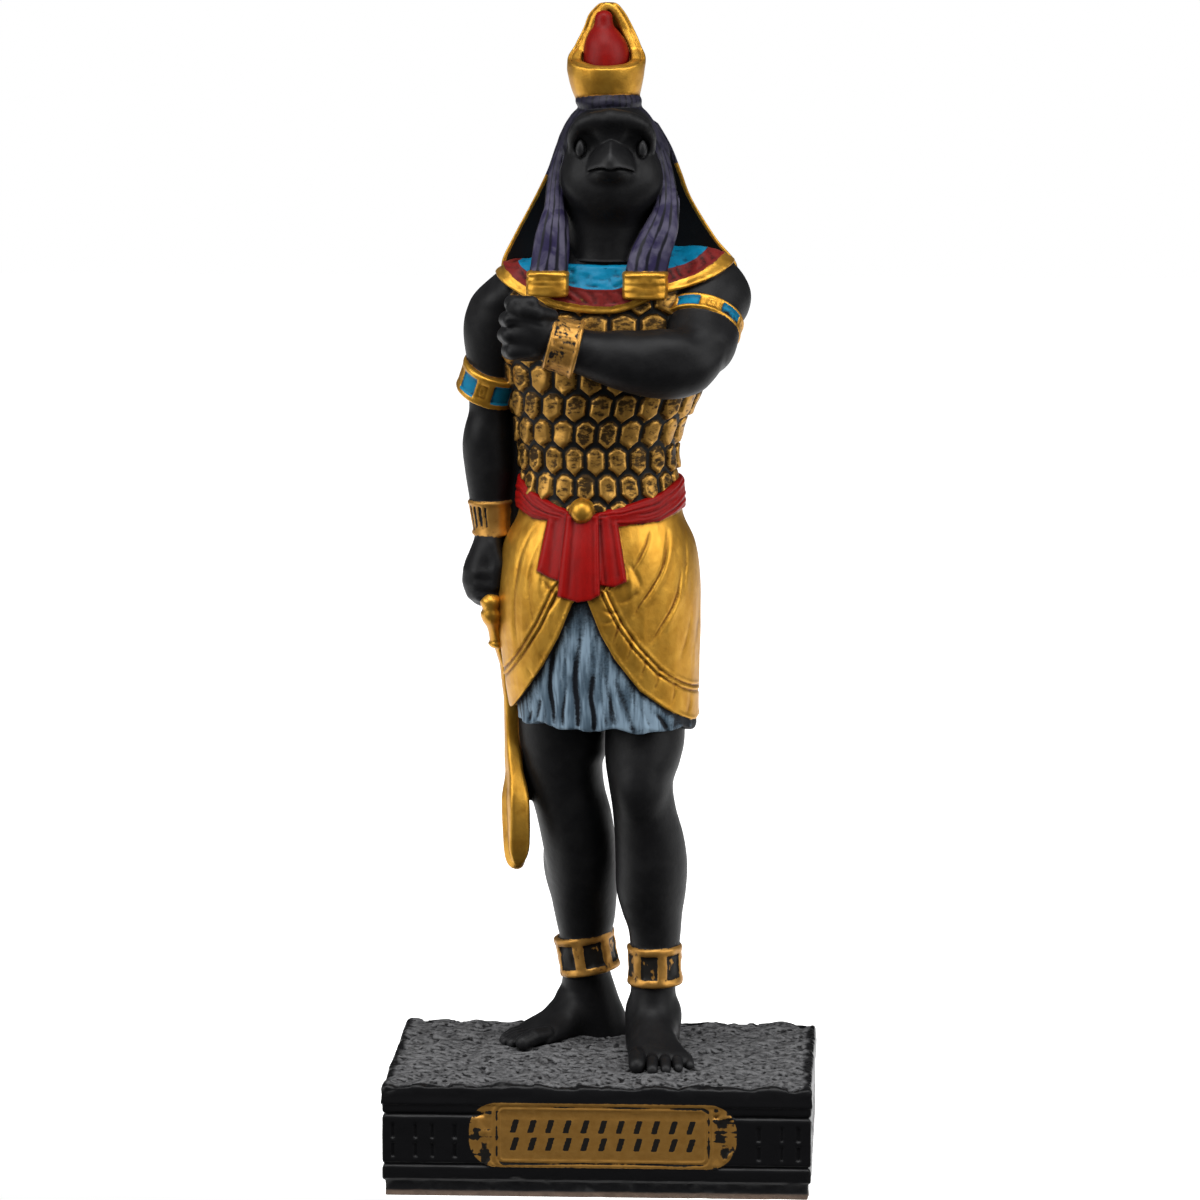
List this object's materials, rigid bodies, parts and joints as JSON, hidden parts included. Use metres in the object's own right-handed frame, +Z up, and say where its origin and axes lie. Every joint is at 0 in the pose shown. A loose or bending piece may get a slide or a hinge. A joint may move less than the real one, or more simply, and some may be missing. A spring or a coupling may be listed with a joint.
{
  "type": "falcon-headed god figurine",
  "caption": "Miniature painted resin figurine of an ancient Egyptian falcon-headed god, standing with a sickle sword and one arm across the chest, cast with its rectangular plinth.",
  "frame": {"origin": "middle of the plinth's underside", "axes": "+Z up to the crown, -Y the way the figure faces, +X to the figure's own left"},
  "size_m": [0.033, 0.023, 0.0903],
  "materials": {
    "painted_resin": "cold-cast resin painted satin black, with gold, red, turquoise and blue-grey painted dress"
  },
  "bodies": {
    "root": {"falcon_god_figurine": "painted_resin"}
  },
  "joints": []
}
